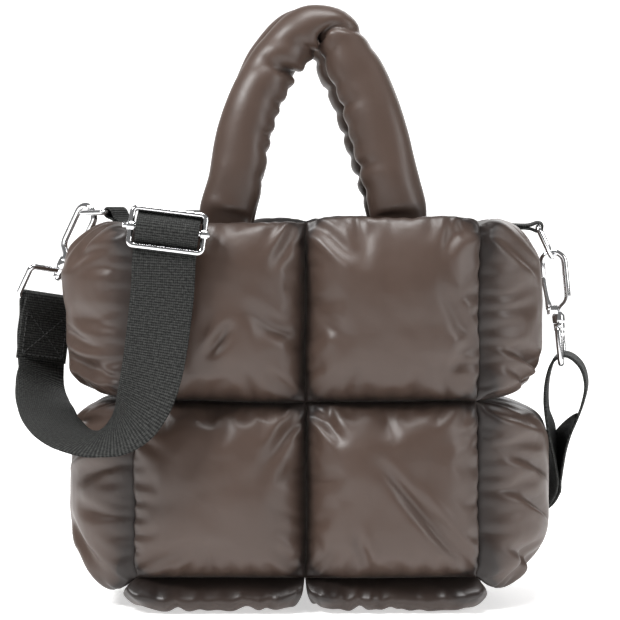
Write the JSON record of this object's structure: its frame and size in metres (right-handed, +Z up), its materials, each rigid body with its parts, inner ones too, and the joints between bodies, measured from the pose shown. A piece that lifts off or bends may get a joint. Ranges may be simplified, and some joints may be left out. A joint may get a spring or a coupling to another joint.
{
  "type": "puffer tote bag with shoulder strap",
  "caption": "Quilted puffer tote bag in taupe brown with padded top handles and a black webbing shoulder strap on snap hooks.",
  "frame": {"origin": "centre of the bounding box on the floor under the bag", "axes": "+Z up, -Y towards the front of the bag, +X to the right as the front is seen"},
  "size_m": [0.3683, 0.2007, 0.3867],
  "materials": {
    "shell": "soft sheen",
    "webbing": "ribbed matte",
    "nickel": "polished"
  },
  "bodies": {
    "root": {"front_upper_left": "shell", "front_upper_right": "shell", "front_lower_left": "shell", "front_lower_right": "shell", "back_upper_left": "shell", "back_upper_right": "shell", "back_lower_left": "shell", "back_lower_right": "shell", "side_left_upper": "shell", "side_left_lower": "shell", "side_right_upper": "shell", "side_right_lower": "shell", "base_left": "shell", "base_right": "shell", "front_handle": "shell", "back_handle": "shell", "strap": "webbing", "tab_left": "webbing", "tab_right": "webbing", "ring_left": "nickel", "ring_right": "nickel", "loop_left": "nickel", "loop_right": "nickel", "slider_frame": "nickel", "slider_bar": "nickel"},
    "left_hook": {"hook_left": "nickel"},
    "left_gate": {"gate_left": "nickel"},
    "right_hook": {"hook_right": "nickel"},
    "right_gate": {"gate_right": "nickel"}
  },
  "joints": [
    {"name": "left_swivel", "type": "hinge", "parent": "root", "child": "left_hook", "pos_m": [-0.1585, 0.02204, 0.2064], "axis": [0.4245, -0.3146, 0.849], "range_deg": [-30, 30]},
    {"name": "left_gate_hinge", "type": "hinge", "parent": "left_hook", "child": "left_gate", "pos_m": [-0.1495, 0.01539, 0.21416], "axis": [-0.5933, -0.805, -0.0017], "range_deg": [0, 28], "stiffness_Nm_per_rad": 0.02, "springref_deg": -17.19},
    {"name": "right_swivel", "type": "hinge", "parent": "root", "child": "right_hook", "pos_m": [0.161, 0.00812, 0.171], "axis": [-0.1, 0, 0.995], "range_deg": [-30, 30]},
    {"name": "right_gate_hinge", "type": "hinge", "parent": "right_hook", "child": "right_gate", "pos_m": [0.15442, 0.00877, 0.1829], "axis": [0.1191, 0.9928, 0.012], "range_deg": [0, 28], "stiffness_Nm_per_rad": 0.02, "springref_deg": -17.19}
  ]
}
